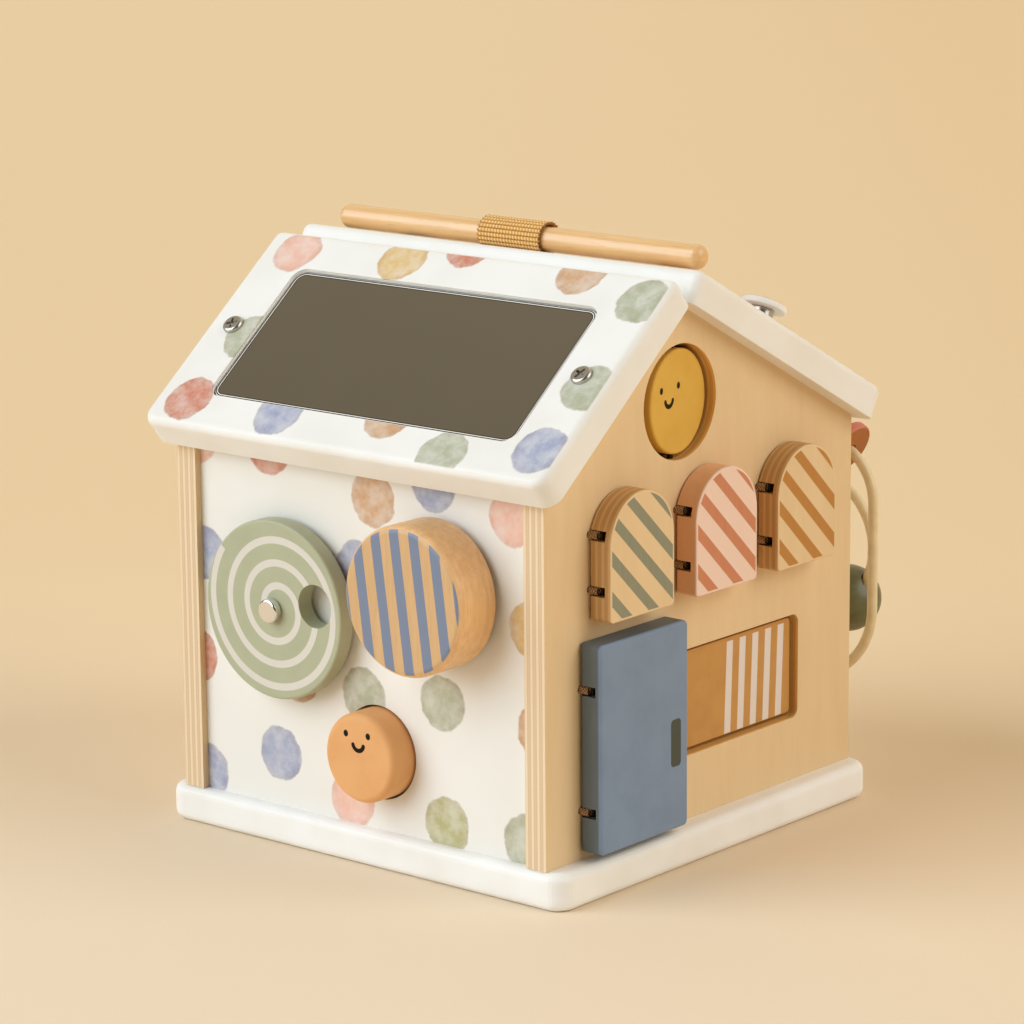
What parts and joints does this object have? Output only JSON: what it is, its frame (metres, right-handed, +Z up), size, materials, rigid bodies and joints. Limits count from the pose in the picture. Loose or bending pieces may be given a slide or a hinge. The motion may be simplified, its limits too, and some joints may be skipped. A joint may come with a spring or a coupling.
{
  "type": "wooden activity house",
  "caption": "Wooden baby activity house with spinning dials, push button, hinged shutters and door, sliding window, turning sun, roof mirror, strapped beater rod and a wire bead frame.",
  "frame": {"origin": "on the base board's underside, in the middle of the four walls", "axes": "+Z up, -Y towards the front wall with the dials, +X towards the gable with the door, ridge along X"},
  "size_m": [0.2211, 0.2885, 0.2581],
  "materials": {
    "white_board": "matt white paint on board, with soft printed dots",
    "birch_ply": "clear lacquered birch plywood",
    "beech": "clear lacquered turned beech",
    "mirror_sheet": "acrylic mirror sheet",
    "steel": "nickel plated",
    "bright_cap": "polished domed cap",
    "green_paint": "matt sage green paint with a pale spiral",
    "orange_paint": "matt orange stain",
    "inner_plastic": "moulded inner cup",
    "mustard_paint": "matt mustard paint",
    "pink_paint": "matt pink paint with terracotta stripes",
    "blue_paint": "matt slate blue paint",
    "caramel_paint": "matt caramel stain with pale bars",
    "hinge_cord": "round brown cord",
    "coated_wire": "cream coated steel wire",
    "bead_green": "dark green paint",
    "bead_orange": "orange brown paint",
    "strap_elastic": "knitted mustard elastic"
  },
  "bodies": {
    "house": {"base_board": "white_board", "left_gable": "birch_ply", "right_gable": "birch_ply", "front_panel": "white_board", "back_panel": "white_board", "front_roof": "white_board", "back_roof": "white_board", "roof_mirror": "mirror_sheet", "roof_screws": "steel", "base_screws": "steel", "wall_dowels": "beech", "dial_spindle": "bright_cap", "dial_spacer": "beech", "dial_nut": "steel", "knob_spacer": "beech", "button_housing": "inner_plastic", "button_spring": "steel", "button_housing_screws": "steel", "sun_pin": "steel", "shutter_hinge_cords": "hinge_cord", "door_hinge_cords": "hinge_cord", "upper_slide_rail": "beech", "lower_slide_rail": "beech", "slide_rail_screws": "steel", "near_bead_wire": "coated_wire", "far_bead_wire": "coated_wire", "rod_strap": "strap_elastic", "strap_staples": "steel", "spinner_post": "beech", "spinner_pin": "steel"},
    "dial": {"spiral_dial": "green_paint"},
    "knob": {"striped_knob": "beech", "knob_axle": "beech", "knob_retainer": "steel", "knob_retainer_screw": "steel"},
    "button": {"push_button": "orange_paint"},
    "sun": {"sun_disc": "mustard_paint"},
    "shutter_one": {"left_shutter": "birch_ply", "left_shutter_pin": "steel"},
    "shutter_two": {"middle_shutter": "pink_paint", "middle_shutter_pin": "steel"},
    "shutter_three": {"right_shutter": "birch_ply", "right_shutter_pin": "steel"},
    "door_leaf": {"door": "blue_paint", "door_pin": "steel"},
    "window": {"slide_panel": "caramel_paint", "slide_runner": "birch_ply"},
    "ball": {"round_bead": "bead_green"},
    "flat_bead": {"disc_bead": "bead_orange"},
    "rod": {"beater_rod": "beech"},
    "spinner": {"roof_spinner": "white_board"}
  },
  "joints": [
    {"name": "dial_spin", "type": "hinge", "parent": "house", "child": "dial", "pos_m": [-0.0398, -0.1071, 0.1038], "axis": [0, -1, 0], "continuous": true},
    {"name": "knob_spin", "type": "hinge", "parent": "house", "child": "knob", "pos_m": [0.0443, -0.1147, 0.1226], "axis": [0, -1, 0], "continuous": true},
    {"name": "button_push", "type": "slide", "parent": "house", "child": "button", "axis": [0, 1, 0], "range_m": [0, 0.01], "stiffness_N_per_m": 150, "springref_m": -0.015, "deforming": ["button_spring"]},
    {"name": "sun_turn", "type": "hinge", "parent": "house", "child": "sun", "pos_m": [0.09475, -0.0165, 0.1935], "axis": [0, 0, 1], "continuous": true},
    {"name": "shutter_one_swing", "type": "hinge", "parent": "house", "child": "shutter_one", "pos_m": [0.1046, -0.07325, 0.135], "axis": [0, 0, -1], "range_deg": [0, 95]},
    {"name": "shutter_two_swing", "type": "hinge", "parent": "house", "child": "shutter_two", "pos_m": [0.1046, -0.01725, 0.135], "axis": [0, 0, -1], "range_deg": [0, 95]},
    {"name": "shutter_three_swing", "type": "hinge", "parent": "house", "child": "shutter_three", "pos_m": [0.1046, 0.03875, 0.135], "axis": [0, 0, -1], "range_deg": [0, 95]},
    {"name": "door_swing", "type": "hinge", "parent": "house", "child": "door_leaf", "pos_m": [0.1046, -0.0795, 0.062], "axis": [0, 0, -1], "range_deg": [0, 95]},
    {"name": "window_slide", "type": "slide", "parent": "house", "child": "window", "axis": [0, -1, 0], "range_m": [0, 0.032]},
    {"name": "ball_slide", "type": "hinge", "parent": "house", "child": "ball", "pos_m": [0.0502, 0.1478, 0.0984], "axis": [0, -1, 0], "range_deg": [-11, 116]},
    {"name": "flat_bead_slide", "type": "hinge", "parent": "house", "child": "flat_bead", "pos_m": [0.0684, 0.1278, 0.1245], "axis": [0, 1, 0], "range_deg": [-24, 57]},
    {"name": "rod_draw", "type": "slide", "parent": "house", "child": "rod", "axis": [1, 0, 0], "range_m": [-0.12, 0.12]},
    {"name": "spinner_spin", "type": "hinge", "parent": "house", "child": "spinner", "pos_m": [0.078, 0.06965, 0.2175], "axis": [0, 0.4711, 0.8821], "continuous": true}
  ]
}
